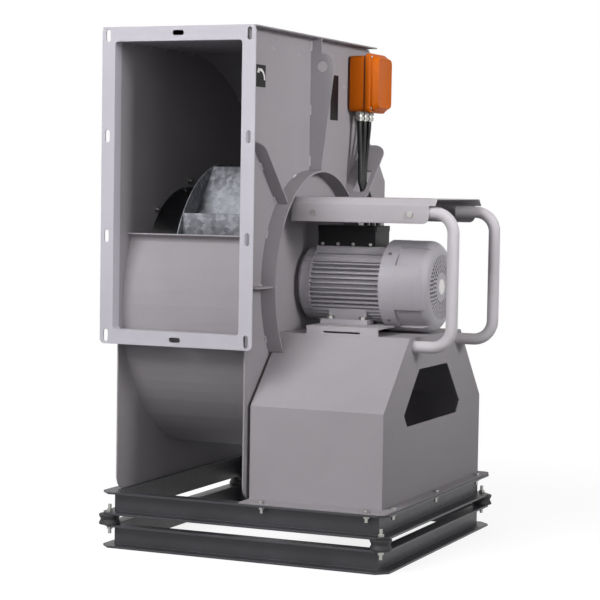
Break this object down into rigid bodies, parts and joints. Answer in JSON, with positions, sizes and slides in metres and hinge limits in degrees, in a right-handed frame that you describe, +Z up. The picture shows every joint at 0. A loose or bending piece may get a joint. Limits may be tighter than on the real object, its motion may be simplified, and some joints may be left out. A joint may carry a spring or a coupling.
{
  "type": "centrifugal fan",
  "caption": "Single-inlet scroll fan with a direct-drive motor on a folded pedestal, on a double black channel frame with rubber mounts",
  "frame": {"origin": "centre of the footprint at floor level", "axes": "+Z is up, +X runs along the shaft from the inlet to the motor, and the outlet faces -Y"},
  "size_m": [0.981, 1.1137, 1.4844],
  "materials": {
    "casing_paint": "Warm light grey powder coat, slightly textured",
    "flange_paint": "Pale grey coat on the outlet flange",
    "frame_black": "Satin black paint on hot rolled channel",
    "motor_paint": "Mid grey paint over cast and ribbed metal",
    "rubber_black": "Dull black moulded rubber",
    "cable_black": "Smooth black cable jacket",
    "cone_black": "Gloss black paint on the spun inlet cone",
    "zinc": "Bright zinc plated fasteners and glands",
    "galvanised": "Galvanised sheet with dull grey bloom",
    "steel": "Machined plain steel",
    "iron": "Laminated iron core with dark varnish",
    "box_orange": "Orange moulded plastic with soft gloss",
    "black_plastic": "Matte black moulded plastic",
    "plate_black": "Matt black aluminium plate"
  },
  "bodies": {
    "stand": {"lower_frame_front": "frame_black", "lower_frame_rear": "frame_black", "lower_frame_left": "frame_black", "lower_frame_right": "frame_black", "upper_frame_front": "frame_black", "upper_frame_rear": "frame_black", "upper_frame_left": "frame_black", "upper_frame_right": "frame_black", "rubber_mounts": "rubber_black", "mount_studs": "zinc", "inlet_side_plate": "casing_paint", "motor_side_plate": "casing_paint", "scroll_wrapper": "casing_paint", "cutoff_lip": "casing_paint", "top_plate": "casing_paint", "outlet_flange": "flange_paint", "inlet_ring": "casing_paint", "inlet_cone": "cone_black", "cone_bolts": "zinc", "shaft_seal": "casing_paint", "stiffener_ring": "casing_paint", "lifting_rib": "casing_paint", "casing_ribs": "casing_paint", "cable_rib": "casing_paint", "pedestal_shell": "casing_paint", "pedestal_end": "casing_paint", "pedestal_foot": "casing_paint", "foot_bolts": "zinc", "motor_plinth": "casing_paint", "motor_feet": "motor_paint", "stator_housing": "motor_paint", "stator_core": "iron", "drive_shield": "motor_paint", "rear_shield": "motor_paint", "shaft_bearings": "steel", "fan_cowl": "motor_paint", "motor_bolts": "zinc", "terminal_box": "black_plastic", "terminal_lid": "black_plastic", "terminal_gland": "zinc", "guard_tray": "casing_paint", "bumper_tube_near": "casing_paint", "bumper_tube_far": "casing_paint", "guard_screws": "zinc", "switch_box": "box_orange", "switch_lid": "box_orange", "switch_bracket": "casing_paint", "switch_glands": "zinc", "motor_cables": "cable_black", "rotation_plate": "plate_black", "blank_plate": "plate_black"},
    "rotor": {"motor_shaft": "steel", "rotor_core": "iron", "cooling_fan": "black_plastic", "impeller_hub": "galvanised", "impeller_backplate": "galvanised", "impeller_blades": "galvanised", "impeller_shroud": "galvanised", "hub_washer": "zinc", "hub_bolt": "zinc"}
  },
  "joints": [
    {"name": "impeller_spin", "type": "hinge", "parent": "stand", "child": "rotor", "pos_m": [-0.1035, -0.0664, 0.7575], "axis": [1, 0, 0], "continuous": true}
  ]
}
